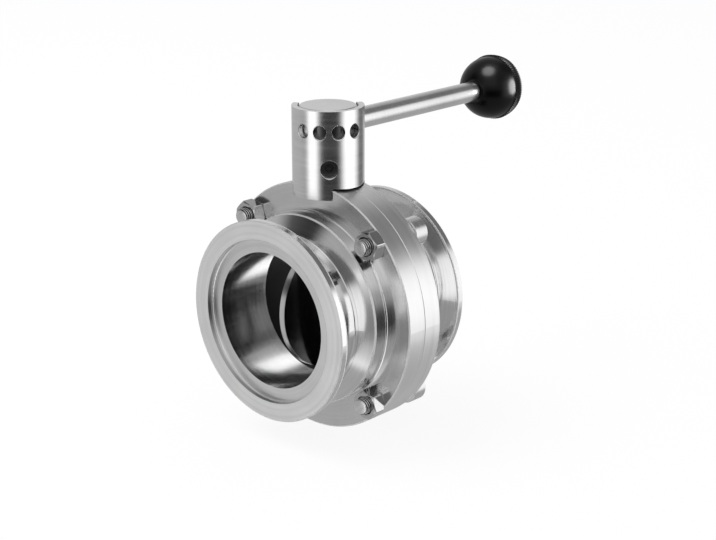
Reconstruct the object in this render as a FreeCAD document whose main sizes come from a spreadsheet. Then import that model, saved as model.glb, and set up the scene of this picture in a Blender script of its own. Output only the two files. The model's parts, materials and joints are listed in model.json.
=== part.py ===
import FreeCAD, Part
import math
import os
import re
import Sketcher

# Vacuum butterfly valve for a 50 mm clamped vacuum line, with an index handle.
# Millimetres and degrees. +Y runs along the pipe, from the front port to the rear port.
# +Z runs along the stem, towards the handle. The origin is the middle of the front port's face.
# The pieces are drawn about the middle of the valve, where the stem crosses the pipe axis,
# and each is then placed half the face-to-face length along Y.
# The valve is drawn open, with the handle along the pipe and the index pin just pulled clear.

SIZES = [
    # Pipe run and clamp ends
    ("face_to_face", 67.0, "length between the two port faces"),
    ("port_bore_dia", 50.8, "bore of the pipe run"),
    ("clamp_rim_dia", 75.0, "outside of each clamp flange"),
    ("clamp_rim_width", 3.0, "straight rim of each clamp flange"),
    ("clamp_taper", 15.0, "slope of the clamp flange's back, in degrees"),
    ("port_recess_dia", 61.0, "recess for the centring ring"),
    ("port_recess_depth", 2.4, "depth of that recess"),
    ("neck_wall", 4.0, "wall of the neck behind each clamp flange"),
    # Bolted joint between the two half bodies
    ("body_flange_width", 8.5, "thickness of one bolted flange"),
    ("shoulder_wall", 2.1, "body wall round the seat's rib, at the shoulder"),
    ("shoulder_width", 5.7, "straight part of the shoulder"),
    ("flare_width", 3.8, "cone from the shoulder down to the neck"),
    ("nut_gap", 0.1, "space between a nut and the fillet round the shoulder"),
    ("bolt_edge", 4.5, "from the bolt circle out to the flanges' rim"),
    ("bolt_dia", 6.0, "thread of the body bolts"),
    ("bolt_hole_gap", 0.3, "space round a bolt in its hole"),
    ("bolt_head_dia", 11.0, "round head of a body bolt"),
    ("bolt_head_height", 6.5, "height of that head"),
    ("bolt_head_break", 0.6, "chamfer round the top of that head"),
    ("bolt_key_flats", 5.0, "hexagon socket in that head"),
    ("bolt_key_depth", 3.0, "depth of that socket"),
    ("nut_flats", 10.0, "width across a nut's flats"),
    ("nut_height", 5.0, "height of a nut"),
    ("nut_bevel", 30.0, "slope of the bevel on a nut's corners, in degrees"),
    ("nut_face_dia", 9.5, "round face that the bevel leaves on a nut"),
    ("nut_countersink", 0.6, "chamfer at each end of a nut's thread"),
    ("bolt_end_length", 2.5, "thread that stands out of a nut"),
    ("bolt_end_break", 0.3, "chamfer at the end of a bolt's thread"),
    ("edge_break", 0.4, "small chamfer on turned edges"),
    ("root_fillet", 0.8, "fillet where the shoulder meets the flange"),
    ("seam_break", 0.15, "broken edge of each half where the two flanges meet"),
    ("tool_radius", 0.5, "fillet that the lathe tool leaves in each inside corner"),
    # Elastomer seat
    ("seat_width", 16.6, "length of the seat along the pipe"),
    ("seat_step", 0.15, "how far the seat's bore stands inside the pipe's"),
    ("seat_wall", 6.25, "wall of the seat"),
    ("seat_key_height", 2.5, "rib that locks the seat between the halves"),
    ("seat_key_width", 5.0, "width of that rib"),
    ("seat_gap", 0.05, "space between the seat and the body"),
    # Disc and stem
    ("disc_gap", 0.15, "space between the disc's rim and the seat"),
    ("disc_rim_thickness", 2.4, "disc at its rim"),
    ("disc_centre_thickness", 8.0, "disc at its centre"),
    ("stem_dia", 10.0, "stem and lower trunnion"),
    ("stem_gap", 0.05, "running gap round the stem"),
    ("stem_square", 8.0, "square that drives the stem, across its flats"),
    ("stem_square_depth", 8.6, "length of that square inside the hub"),
    ("trunnion_length", 6.0, "stem that stands in the lower bush, past the seal"),
    ("bush_length", 8.0, "length of the stem bushes"),
    ("seal_section", 1.9, "thickness of the stem seals' round section"),
    ("seal_side_gap", 0.05, "space outside a stem seal, which the bushes' wall shares"),
    ("seal_end_gap", 0.3, "spare room along the stem beside a seal"),
    ("seal_ledge", 1.0, "wall between the seat's rib and a stem seal"),
    # Index sleeve
    ("sleeve_dia", 26.5, "outside of the index sleeve"),
    ("sleeve_wall", 2.17, "wall of the index sleeve"),
    ("sleeve_floor", 2.1, "floor that the hub holds down"),
    ("sleeve_seat_gap", 0.1, "space between that floor and the flanges"),
    ("skirt_depth", 4.8, "how far the skirt hangs beside the flanges"),
    ("slot_rise", 1.0, "slot roof below the crown of the flanges"),
    ("slot_gap", 0.3, "space between the slot and each flange face"),
    ("index_hole_gap", 0.1, "space round the pin's nose in an index hole"),
    ("index_hole_drop", 7.7, "hole row below the top of the sleeve"),
    ("index_step", 30.0, "angle from one index hole to the next"),
    ("access_hole_dia", 6.5, "hole for the set screw's key"),
    ("window_gap", 0.4, "space beside the rod at each end of its window"),
    ("window_sill", 1.9, "window's sill below the rod"),
    ("hole_break", 0.35, "chamfer round the sleeve's holes"),
    # Handle
    ("hub_gap", 0.08, "running gap between the hub and the sleeve"),
    ("hub_lift", 0.1, "running gap between the hub and the sleeve's floor"),
    ("hub_break", 0.9, "chamfer round the top of the hub"),
    ("hub_web", 3.7, "hub between the stem's square and the spring chamber"),
    ("set_screw_dia", 6.0, "set screw in the hub"),
    ("set_screw_inset", 0.57, "outer end of that screw below the hub's surface"),
    ("set_screw_key", 3.0, "hexagon socket in that screw"),
    ("set_screw_key_depth", 3.2, "depth of that socket"),
    ("pin_nose_dia", 4.8, "nose of the index pin"),
    ("pin_nose_rise", 0.8, "domed end of that nose"),
    ("pin_guide_length", 3.8, "hub wall that guides the nose"),
    ("nose_clearance", 0.08, "drawn-back nose below the sleeve's bore"),
    ("nose_inset", 0.05, "home nose below the sleeve's outside"),
    ("pin_stop_gap", 0.05, "space left at the pin's stop when it is home"),
    ("pin_collar_gap", 0.2, "space round the collar that the spring pushes"),
    ("pin_collar_width", 1.5, "thickness of that collar"),
    ("pin_stub_dia", 4.0, "thread that joins the pin to the rod"),
    ("pin_stub_length", 7.0, "length of that thread"),
    ("spring_wire", 0.7, "wire of the index spring"),
    ("spring_turns", 5.0, "turns of the index spring"),
    ("spring_gap", 0.3, "space inside and outside the spring"),
    ("gland_lip", 0.7, "thread of the gland, round the spring chamber"),
    ("gland_length", 4.1, "length of the gland that closes the chamber"),
    ("gland_recess", 0.12, "rim of the gland's outer face below the hub's surface"),
    ("rod_dia", 8.0, "handle rod"),
    ("rod_gap", 0.05, "running gap round the rod in the gland and round the pin's nose"),
    ("rod_reach", 84.6, "outer end of the rod from the stem axis"),
    ("rod_break", 0.7, "chamfer at the rod's outer end"),
    ("rod_thread_dia", 6.0, "thread that carries the knob"),
    ("rod_thread_length", 8.0, "length of that thread"),
    ("blind_end", 0.5, "spare depth past the end of a thread"),
    ("knob_dia", 25.0, "ball knob"),
    ("knob_flat_cut", 1.1, "flat on the knob, in from the ball"),
    ("grip_rise", 0.6, "grip band above the ball"),
    ("grip_start", 0.4, "start of the grip band, past the ball's middle"),
    ("grip_width", 5.2, "grip band along the rod"),
    ("insert_dia", 9.0, "metal insert in the knob"),
    ("insert_length", 9.5, "length of that insert"),
    ("thread_gap", 0.03, "space between a screw and its thread"),
]

doc = FreeCAD.newDocument("butterfly_valve")
sheet = doc.addObject("Spreadsheet::Sheet", "Sizes")
for row, (alias, number, meaning) in enumerate(SIZES, start=1):
    sheet.set(f"A{row}", meaning)
    sheet.set(f"B{row}", str(number))
    sheet.setAlias(f"B{row}", alias)
doc.recompute()

ALIASES = {alias for alias, number, meaning in SIZES}


def formula(text):
    """Point each size's name in a formula at its cell in the sheet."""
    def cell(match):
        word = match.group(0)
        return f"Sizes.{word}" if word in ALIASES else word
    return re.sub(r"[A-Za-z_]\w*", cell, str(text))


def value(text):
    """Work a formula out to a number, with the sheet's present sizes."""
    result = sheet.evalExpression(formula(text))
    return float(getattr(result, "Value", result))


def bind(item, **formulas):
    """Tie properties to formulas. A double underscore in a name stands for a dot."""
    for name, text in formulas.items():
        item.setExpression(name.replace("__", "."), formula(text))


# How far a cutter runs out past a face, and how far one solid sinks into the next it joins
OVERRUN = 5
OVERLAP = 1

INDEX_POSITIONS = 4
BOLT_COUNT = 4
# Degrees round the pipe axis, from +X to the first bolt
FIRST_BOLT_ANGLE = 45
# Degrees from the front to a flat of the stem's square, which the set screw bears on
FLAT_ANGLE = 45

# Lengths that several pieces share, as formulas on the sheet
PORT_RADIUS = "(port_bore_dia / 2)"
NECK_RADIUS = f"({PORT_RADIUS} + neck_wall)"
SEAT_BORE_RADIUS = f"({PORT_RADIUS} - seat_step)"
SEAT_RADIUS = f"({SEAT_BORE_RADIUS} + seat_wall)"
SEAT_KEY_RADIUS = f"({SEAT_RADIUS} + seat_key_height)"
DISC_RADIUS = f"({SEAT_BORE_RADIUS} - disc_gap)"
SHOULDER_RADIUS = f"({SEAT_KEY_RADIUS} + shoulder_wall)"
BOLT_RADIUS = f"({SHOULDER_RADIUS} + root_fillet + nut_gap + max(nut_flats; bolt_head_dia) / 2)"
FLANGE_RADIUS = f"({BOLT_RADIUS} + bolt_edge)"
SHOULDER_END = "(body_flange_width + shoulder_width)"
NECK_START = f"({SHOULDER_END} + flare_width)"
PORT_FACE = "(face_to_face / 2)"
TAPER_START = "(face_to_face / 2 - clamp_rim_width)"
TAPER_END = f"({TAPER_START} - (clamp_rim_dia / 2 - {NECK_RADIUS}) * tan(clamp_taper * 1 deg))"
STEM_HOLE = "(stem_dia / 2 + stem_gap)"
SEAL_START = f"({SEAT_KEY_RADIUS} + seat_gap + seal_ledge)"
SEAL_LAND = "(seal_section + seal_end_gap)"
BUSH_RADIUS = f"({STEM_HOLE} + seal_section + seal_side_gap)"
BUSH_START = f"({SEAL_START} + {SEAL_LAND})"
BUSH_END = f"({BUSH_START} + bush_length)"
TRUNNION_END = f"({BUSH_START} + trunnion_length)"
SLEEVE_RADIUS = "(sleeve_dia / 2)"
SLEEVE_BORE = "(sleeve_dia / 2 - sleeve_wall)"
FLOOR_BOTTOM = f"({FLANGE_RADIUS} + sleeve_seat_gap)"
FLOOR_TOP = f"({FLOOR_BOTTOM} + sleeve_floor)"
HUB_RADIUS = f"({SLEEVE_BORE} - hub_gap)"
HUB_BOTTOM = f"({FLOOR_TOP} + hub_lift)"
SQUARE_TOP = f"({HUB_BOTTOM} + stem_square_depth)"
SCREW_HEIGHT = f"({HUB_BOTTOM} + stem_square_depth / 2)"
SPRING_RADIUS = "(rod_dia / 2 + spring_gap + spring_wire / 2)"
CHAMBER_RADIUS = "(rod_dia / 2 + spring_wire + 2 * spring_gap)"
INDEX_HEIGHT = f"({SQUARE_TOP} + hub_web + {CHAMBER_RADIUS})"
SLEEVE_TOP = f"({INDEX_HEIGHT} + index_hole_drop)"
GLAND_RADIUS = f"({CHAMBER_RADIUS} + gland_lip)"
GLAND_END = f"(sqrt({HUB_RADIUS} ^ 2 - {GLAND_RADIUS} ^ 2) - gland_recess)"
GLAND_START = f"({GLAND_END} - gland_length)"
CHAMBER_START = f"({HUB_RADIUS} - pin_guide_length)"
NOSE_TIP = f"({SLEEVE_BORE} - nose_clearance)"
PIN_TRAVEL = "(sleeve_wall + nose_clearance - nose_inset)"
COLLAR_FRONT = f"({CHAMBER_START} - {PIN_TRAVEL} - pin_stop_gap)"
COLLAR_BACK = f"({COLLAR_FRONT} - pin_collar_width)"
KNOB_CENTRE = "(rod_reach + knob_dia / 2 - knob_flat_cut)"
NUT_FACE = "(body_flange_width + nut_height)"
FULL_TURN = f"({INDEX_POSITIONS - 1} * index_step)"
WINDOW_HALF_ANGLE = f"({FULL_TURN} / 2 * 1 deg + asin((rod_dia / 2 + window_gap) / {SLEEVE_BORE}))"


def plane_of(body, role):
    """The body's own origin plane or axis with this role."""
    return next(item for item in body.Origin.OriginFeatures if item.Role == role)


def new_body(label):
    body = doc.addObject("PartDesign::Body", label)
    body.Label = label
    bind(body, Placement__Base__y=PORT_FACE)
    return body


def new_sketch(body, name, role):
    sketch = body.newObject("Sketcher::SketchObject", f"{body.Label}_{name}")
    sketch.AttachmentSupport = (plane_of(body, role), [""])
    sketch.MapMode = "FlatFace"
    return sketch


def hold_point(sketch, edge, end, across, along):
    """Hold one end of an edge at a place given by two formulas."""
    for kind, axis, text in (("DistanceX", -2, across), ("DistanceY", -1, along)):
        if text == "0":
            sketch.addConstraint(Sketcher.Constraint("PointOnObject", edge, end, axis))
            continue
        number = sketch.addConstraint(Sketcher.Constraint(kind, -1, 1, edge, end, value(text)))
        sketch.setExpression(f"Constraints[{number}]", formula(text))


def outline(body, name, role, points, arcs=None):
    """A closed outline through points given as pairs of formulas.

    Edges are straight, except those whose number has a radius in arcs. An outline with
    arcs runs anticlockwise, and its arcs bulge outwards.
    """
    arcs = arcs or {}
    sketch = new_sketch(body, name, role)
    spots = [FreeCAD.Vector(value(across), value(along), 0) for across, along in points]
    for edge, (start, stop) in enumerate(zip(spots, spots[1:] + spots[:1])):
        if edge in arcs:
            sketch.addGeometry(bulging_arc(start, stop, value(arcs[edge])), False)
        else:
            sketch.addGeometry(Part.LineSegment(start, stop), False)
    for edge, (across, along) in enumerate(points):
        before = (edge - 1) % len(points)
        sketch.addConstraint(Sketcher.Constraint("Coincident", before, 2, edge, 1))
        hold_point(sketch, edge, 1, across, along)
    for edge, radius in arcs.items():
        number = sketch.addConstraint(Sketcher.Constraint("Radius", edge, value(radius)))
        sketch.setExpression(f"Constraints[{number}]", formula(radius))
    return sketch


def bulging_arc(start, stop, radius):
    """An anticlockwise arc between two points."""
    chord = stop - start
    rise = radius - math.sqrt(radius * radius - chord.Length * chord.Length / 4)
    outwards = FreeCAD.Vector(chord.y, -chord.x, 0).normalize()
    return Part.Arc(start, (start + stop) / 2 + outwards * rise, stop)


def round_outline(body, name, role, across, along, radius):
    """A circle in a sketch."""
    sketch = new_sketch(body, name, role)
    centre = FreeCAD.Vector(value(across), value(along), 0)
    sketch.addGeometry(Part.Circle(centre, FreeCAD.Vector(0, 0, 1), value(radius)), False)
    number = sketch.addConstraint(Sketcher.Constraint("Radius", 0, value(radius)))
    sketch.setExpression(f"Constraints[{number}]", formula(radius))
    hold_point(sketch, 0, 3, across, along)
    return sketch


def turned(body, name, role, points, kind="Revolution", axis="V_Axis", arcs=None):
    """Turn an outline about one of the sketch's axes, to add or to cut."""
    sketch = outline(body, name, role, points, arcs)
    feature = body.newObject(f"PartDesign::{kind}", f"{body.Label}_{name}_turn")
    feature.Profile = sketch
    feature.ReferenceAxis = (sketch, [axis])
    feature.Angle = 360.0
    sketch.Visibility = False
    return feature


def through(body, name, sketch):
    """Cut a sketch through the whole body, both ways."""
    pocket = body.newObject("PartDesign::Pocket", f"{body.Label}_{name}_cut")
    pocket.Profile = sketch
    pocket.Type = "ThroughAll"
    pocket.Midplane = True
    return pocket


def round_edges(shape, radius, along):
    """Names of the round edges of this radius, at this place along the pipe."""
    close = 0.01
    names = []
    for number, edge in enumerate(shape.Edges, start=1):
        curve = edge.Curve
        if not isinstance(curve, Part.Circle):
            continue
        if abs(curve.Radius - radius) < close and abs(curve.Center.y - along) < close:
            names.append(f"Edge{number}")
    return names


def dress(body, kind, name, size, wanted):
    """A fillet or chamfer on edges given as (radius, distance along the pipe) formulas."""
    doc.recompute()
    base = body.Tip
    edges = []
    for radius, along in wanted:
        edges += round_edges(base.Shape, value(radius), value(along))
    feature = body.newObject(f"PartDesign::{kind}", f"{body.Label}_{name}")
    feature.Base = (base, edges)
    bind(feature, **{"Radius" if kind == "Fillet" else "Size": size})
    return feature


def half_body(label, side):
    """One half of the body. The side is -1 for the front port and 1 for the rear port."""
    def at(distance):
        return f"({side}) * {distance}" if distance != "0" else "0"

    body = new_body(label)
    cavity = f"({SEAT_RADIUS} + seat_gap)"
    key = f"({SEAT_KEY_RADIUS} + seat_gap)"
    cavity_end = "(seat_width / 2 + seat_gap)"
    key_end = "(seat_key_width / 2 + seat_gap)"
    recess_floor = "(face_to_face / 2 - port_recess_depth)"
    turned(body, "profile", "XY_Plane", [
        (key, "0"),
        (f"({FLANGE_RADIUS} - seam_break)", "0"),
        (FLANGE_RADIUS, at("seam_break")),
        (FLANGE_RADIUS, at("body_flange_width")),
        (SHOULDER_RADIUS, at("body_flange_width")),
        (SHOULDER_RADIUS, at(SHOULDER_END)),
        (NECK_RADIUS, at(NECK_START)),
        (NECK_RADIUS, at(TAPER_END)),
        ("clamp_rim_dia / 2", at(TAPER_START)),
        ("clamp_rim_dia / 2", at(PORT_FACE)),
        ("port_recess_dia / 2", at(PORT_FACE)),
        ("port_recess_dia / 2", at(recess_floor)),
        (PORT_RADIUS, at(recess_floor)),
        (PORT_RADIUS, at(cavity_end)),
        (cavity, at(cavity_end)),
        (cavity, at(key_end)),
        (key, at(key_end)),
    ])
    # Stem passage: open at the top, blind at the bottom
    over_the_top = f"({FLANGE_RADIUS} + {OVERRUN})"
    turned(body, "stem_passage", "XZ_Plane", [
        ("0", f"-({BUSH_END})"),
        (BUSH_RADIUS, f"-({BUSH_END})"),
        (BUSH_RADIUS, f"-({SEAL_START})"),
        (STEM_HOLE, f"-({SEAL_START})"),
        (STEM_HOLE, SEAL_START),
        (BUSH_RADIUS, SEAL_START),
        (BUSH_RADIUS, over_the_top),
        ("0", over_the_top),
    ], kind="Groove")
    hole = round_outline(body, "bolt_hole", "XZ_Plane",
                         f"{BOLT_RADIUS} * cos({FIRST_BOLT_ANGLE} deg)",
                         f"{BOLT_RADIUS} * sin({FIRST_BOLT_ANGLE} deg)",
                         "(bolt_dia / 2 + bolt_hole_gap)")
    first = through(body, "bolt_hole", hole)
    pattern = body.newObject("PartDesign::PolarPattern", f"{label}_bolt_holes")
    pattern.Originals = [first]
    pattern.Axis = (plane_of(body, "Y_Axis"), [""])
    pattern.Angle = 360.0
    pattern.Occurrences = BOLT_COUNT
    body.Tip = pattern
    dress(body, "Fillet", "root", "root_fillet", [(SHOULDER_RADIUS, at("body_flange_width"))])
    dress(body, "Fillet", "corners", "tool_radius", [
        (NECK_RADIUS, at(NECK_START)),
        (NECK_RADIUS, at(TAPER_END)),
        ("port_recess_dia / 2", at(recess_floor)),
    ])
    dress(body, "Chamfer", "edges", "edge_break", [
        (FLANGE_RADIUS, at("body_flange_width")),
        ("clamp_rim_dia / 2", at(PORT_FACE)),
        (SHOULDER_RADIUS, at(SHOULDER_END)),
    ])
    return body


def seat_ring():
    """Elastomer seat, gripped between the halves by its rib, with a hole for each stem."""
    body = new_body("seat_ring")
    turned(body, "profile", "XY_Plane", [
        (SEAT_BORE_RADIUS, "-seat_width / 2"),
        (SEAT_RADIUS, "-seat_width / 2"),
        (SEAT_RADIUS, "-seat_key_width / 2"),
        (SEAT_KEY_RADIUS, "-seat_key_width / 2"),
        (SEAT_KEY_RADIUS, "seat_key_width / 2"),
        (SEAT_RADIUS, "seat_key_width / 2"),
        (SEAT_RADIUS, "seat_width / 2"),
        (SEAT_BORE_RADIUS, "seat_width / 2"),
    ])
    through(body, "stem_hole", round_outline(body, "stem_hole", "XY_Plane", "0", "0", STEM_HOLE))
    return body


def up_the_stem(name, radius, length, start):
    """A bare cylinder about the stem axis."""
    item = doc.addObject("Part::Cylinder", name)
    bind(item, Radius=radius, Height=length, Placement__Base__y=PORT_FACE, Placement__Base__z=start)
    return item


def along_the_rod(name, radius, length, start):
    """A bare cylinder about the rod's axis."""
    item = doc.addObject("Part::Cylinder", name)
    item.Placement.Rotation = FreeCAD.Rotation(FreeCAD.Vector(1, 0, 0), -90)
    bind(item, Radius=radius, Height=length, Placement__Base__y=f"{PORT_FACE} + {start}",
         Placement__Base__z=INDEX_HEIGHT)
    return item


def join(label, items):
    whole = doc.addObject("Part::MultiFuse", label)
    whole.Shapes = items
    whole.Label = label
    return whole


def overlap_of(name, items):
    whole = doc.addObject("Part::MultiCommon", name)
    whole.Shapes = items
    return whole


def take_away(label, base, tool):
    rest = doc.addObject("Part::Cut", label)
    rest.Base = base
    rest.Tool = tool
    rest.Label = label
    return rest


def cap_radius(half_width, rise):
    """Radius of the ball whose cap has this half width and this rise."""
    return f"(({half_width} * {half_width} + {rise} * {rise}) / (2 * {rise}))"


def disc():
    """Lens-shaped disc in one piece with its drive stem above and its trunnion below."""
    body = new_body("disc")
    rise = "((disc_centre_thickness - disc_rim_thickness) / 2)"
    dome = cap_radius(DISC_RADIUS, rise)
    turned(body, "lens", "XY_Plane", [
        ("-disc_centre_thickness / 2", "0"),
        ("disc_centre_thickness / 2", "0"),
        ("disc_rim_thickness / 2", DISC_RADIUS),
        ("-disc_rim_thickness / 2", DISC_RADIUS),
    ], axis="H_Axis", arcs={1: dome, 3: dome})
    turned(body, "stem", "XZ_Plane", [
        ("0", f"-{TRUNNION_END}"),
        ("stem_dia / 2", f"-{TRUNNION_END}"),
        ("stem_dia / 2", HUB_BOTTOM),
        ("0", HUB_BOTTOM),
    ])
    corner = "(stem_square / sqrt(2))"
    square = outline(body, "square", "XY_Plane", [
        ("0", f"-{corner}"),
        (corner, "0"),
        ("0", corner),
        (f"-{corner}", "0"),
    ])
    bind(square, AttachmentOffset__Base__z=f"{HUB_BOTTOM} - {OVERLAP}")
    drive = body.newObject("PartDesign::Pad", "disc_drive")
    drive.Profile = square
    bind(drive, Length=f"stem_square_depth + {OVERLAP}")
    rounding = outline(body, "drive_rounding", "XZ_Plane", [
        ("stem_dia / 2", f"({HUB_BOTTOM} - {OVERRUN})"),
        ("stem_dia", f"({HUB_BOTTOM} - {OVERRUN})"),
        ("stem_dia", f"({SQUARE_TOP} + {OVERRUN})"),
        ("stem_dia / 2", f"({SQUARE_TOP} + {OVERRUN})"),
    ])
    trim = body.newObject("PartDesign::Groove", "disc_drive_round")
    trim.Profile = rounding
    trim.ReferenceAxis = (rounding, ["V_Axis"])
    trim.Angle = 360.0
    return body


def ring(label, outer, inner, length, start):
    """A plain ring about the stem axis."""
    body = new_body(label)
    turned(body, "profile", "XZ_Plane", [
        (inner, start),
        (outer, start),
        (outer, f"({start} + {length})"),
        (inner, f"({start} + {length})"),
    ])
    return body


def stem_seal(label, middle):
    """A round-section seal about the stem."""
    seal = doc.addObject("Part::Torus", label)
    seal.Label = label
    bind(seal, Radius1=f"{STEM_HOLE} + seal_section / 2", Radius2="seal_section / 2",
         Placement__Base__y=PORT_FACE, Placement__Base__z=middle)
    return seal


def sleeve_blank():
    """Sleeve that straddles the bolted flanges, before its holes are drilled."""
    body = new_body("sleeve_blank")
    skirt_bottom = f"({FLANGE_RADIUS} - skirt_depth)"
    turned(body, "profile", "XZ_Plane", [
        (STEM_HOLE, FLOOR_BOTTOM),
        (SLEEVE_BORE, FLOOR_BOTTOM),
        (SLEEVE_BORE, skirt_bottom),
        (SLEEVE_RADIUS, skirt_bottom),
        (SLEEVE_RADIUS, SLEEVE_TOP),
        (SLEEVE_BORE, SLEEVE_TOP),
        (SLEEVE_BORE, FLOOR_TOP),
        (STEM_HOLE, FLOOR_TOP),
    ])
    # Slot in the skirt, over both bolted flanges
    slot_half = "(body_flange_width + slot_gap)"
    slot_roof = f"({FLANGE_RADIUS} - slot_rise)"
    through(body, "slot", outline(body, "slot", "YZ_Plane", [
        (f"-{slot_half}", f"({skirt_bottom} - {OVERRUN})"),
        (slot_half, f"({skirt_bottom} - {OVERRUN})"),
        (slot_half, slot_roof),
        (f"-{slot_half}", slot_roof),
    ]))
    crown = round_outline(body, "crown", "XZ_Plane", "0", "0", f"({FLANGE_RADIUS} + sleeve_seat_gap / 2)")
    relief = body.newObject("PartDesign::Pocket", "sleeve_crown_cut")
    relief.Profile = crown
    relief.Midplane = True
    bind(relief, Length=f"2 * {slot_half}")
    # Window for the handle, from the top down
    corners = []
    for share in (-1, -0.5, 0, 0.5, 1):
        angle = f"((90 + {FULL_TURN} / 2) * 1 deg + ({share}) * {WINDOW_HALF_ANGLE})"
        corners.append((f"sleeve_dia * cos({angle})", f"sleeve_dia * sin({angle})"))
    window = outline(body, "window", "XY_Plane", [("0", "0")] + corners)
    bind(window, AttachmentOffset__Base__z=SLEEVE_TOP)
    cut = body.newObject("PartDesign::Pocket", "sleeve_window_cut")
    cut.Profile = window
    bind(cut, Length="index_hole_drop + rod_dia / 2 + window_sill")
    return body


def point_outwards(item, start, height, angle):
    """Point a solid's own axis out from the stem, at an angle from the front towards +X."""
    item.Placement.Rotation = FreeCAD.Rotation(FreeCAD.Vector(0, 0, 1), value(angle)).multiply(
        FreeCAD.Rotation(FreeCAD.Vector(1, 0, 0), 90))
    bind(item, Placement__Base__x=f"{start} * sin({angle} * 1 deg)",
         Placement__Base__y=f"{PORT_FACE} - {start} * cos({angle} * 1 deg)",
         Placement__Base__z=height)


def radial_cylinder(name, radius, near, far, height, angle):
    """A cylinder that points out from the stem, between two distances from it."""
    item = doc.addObject("Part::Cylinder", name)
    bind(item, Radius=radius, Height=f"{far} - {near}")
    point_outwards(item, near, height, angle)
    return item


def drilled_sleeve(blank):
    """The sleeve with its index holes, its access hole and their broken edges."""
    holes = []
    for number in range(INDEX_POSITIONS):
        holes += sleeve_hole(f"index_hole_{number + 1}", "(pin_nose_dia / 2 + index_hole_gap)",
                             INDEX_HEIGHT, f"({number} * index_step)")
    holes += sleeve_hole("access_hole", "access_hole_dia / 2", SCREW_HEIGHT, FLAT_ANGLE)
    return take_away("index_sleeve", blank, join("sleeve_holes", holes))


def sleeve_hole(name, radius, height, angle):
    """One radial hole through the sleeve's wall, with a chamfer at its mouth."""
    bore = radial_cylinder(f"{name}_bore", radius, f"({SLEEVE_BORE} - {OVERLAP})",
                           f"({SLEEVE_RADIUS} + {OVERLAP})", height, angle)
    mouth = doc.addObject("Part::Cone", f"{name}_mouth")
    bind(mouth, Radius1=radius, Radius2=f"{radius} + hole_break + {OVERLAP}",
         Height=f"hole_break + {OVERLAP}")
    point_outwards(mouth, f"({SLEEVE_RADIUS} - hole_break)", height, angle)
    return [bore, mouth]


def handle_hub():
    """Hub that turns in the sleeve, driven on the stem's square and bored for the index pin."""
    rim = f"({SLEEVE_TOP} - hub_break)"
    blank = up_the_stem("hub_blank", HUB_RADIUS, f"{rim} - {HUB_BOTTOM}", HUB_BOTTOM)
    crown = doc.addObject("Part::Cone", "hub_crown")
    bind(crown, Radius1=HUB_RADIUS, Radius2=f"{HUB_RADIUS} - hub_break", Height="hub_break",
         Placement__Base__y=PORT_FACE, Placement__Base__z=rim)
    guide = along_the_rod("hub_pin_guide", "pin_nose_dia / 2 + rod_gap", f"{HUB_RADIUS} + {OVERRUN}",
                          f"-({HUB_RADIUS} + {OVERRUN})")
    chamber = along_the_rod("hub_chamber", CHAMBER_RADIUS, f"{CHAMBER_START} + {HUB_RADIUS}",
                            f"-{CHAMBER_START}")
    gland_thread = along_the_rod("hub_gland_thread", f"{GLAND_RADIUS} + thread_gap", HUB_RADIUS,
                                 GLAND_START)
    socket_height = "stem_square_depth + stem_gap"
    socket = doc.addObject("Part::Box", "hub_socket")
    socket.Placement.Rotation = FreeCAD.Rotation(FreeCAD.Vector(0, 0, 1), FLAT_ANGLE)
    bind(socket, Length="stem_square + 2 * stem_gap", Width="stem_square + 2 * stem_gap",
         Height=socket_height, Placement__Base__z=HUB_BOTTOM,
         Placement__Base__y=f"{PORT_FACE} - (stem_square + 2 * stem_gap) / sqrt(2)")
    socket_round = up_the_stem("hub_socket_round", STEM_HOLE, socket_height, HUB_BOTTOM)
    stem_socket = overlap_of("hub_stem_socket", [socket, socket_round])
    screw_thread = radial_cylinder("hub_screw_thread", "set_screw_dia / 2 + thread_gap", "0",
                                   f"({HUB_RADIUS} + {OVERRUN})", SCREW_HEIGHT, FLAT_ANGLE)
    tools = join("hub_tools", [guide, chamber, gland_thread, stem_socket, screw_thread])
    return take_away("handle_hub", join("hub_outside", [blank, crown]), tools)


def hexagon(name, flats, length):
    """A six-sided bar along Z."""
    item = doc.addObject("Part::Prism", name)
    item.Polygon = 6
    bind(item, Circumradius=f"({flats}) / sqrt(3)", Height=length)
    return item


def hub_set_screw():
    """Set screw that holds the hub down on the stem's square."""
    seat_at = "(stem_square / 2 + thread_gap)"
    end = f"({HUB_RADIUS} - set_screw_inset)"
    screw = radial_cylinder("set_screw_blank", "set_screw_dia / 2", seat_at, end, SCREW_HEIGHT, FLAT_ANGLE)
    key = hexagon("set_screw_key_socket", "set_screw_key", f"set_screw_key_depth + {OVERRUN}")
    point_outwards(key, f"({end} - set_screw_key_depth)", SCREW_HEIGHT, FLAT_ANGLE)
    return take_away("hub_set_screw", screw, key)


def index_pin():
    """Index pin: domed nose, spring collar and the thread that screws into the rod."""
    body = new_body("index_pin")
    bind(body, Placement__Base__z=INDEX_HEIGHT)
    collar = f"({CHAMBER_RADIUS} - pin_collar_gap)"
    turned(body, "profile", "XY_Plane", [
        ("0", f"-{NOSE_TIP}"),
        ("pin_nose_dia / 2", f"(pin_nose_rise - {NOSE_TIP})"),
        ("pin_nose_dia / 2", f"-{COLLAR_FRONT}"),
        (collar, f"-{COLLAR_FRONT}"),
        (collar, f"-{COLLAR_BACK}"),
        ("pin_stub_dia / 2", f"-{COLLAR_BACK}"),
        ("pin_stub_dia / 2", f"(pin_stub_length - {COLLAR_BACK})"),
        ("0", f"(pin_stub_length - {COLLAR_BACK})"),
    ], arcs={0: cap_radius("(pin_nose_dia / 2)", "pin_nose_rise")})
    return body


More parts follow.
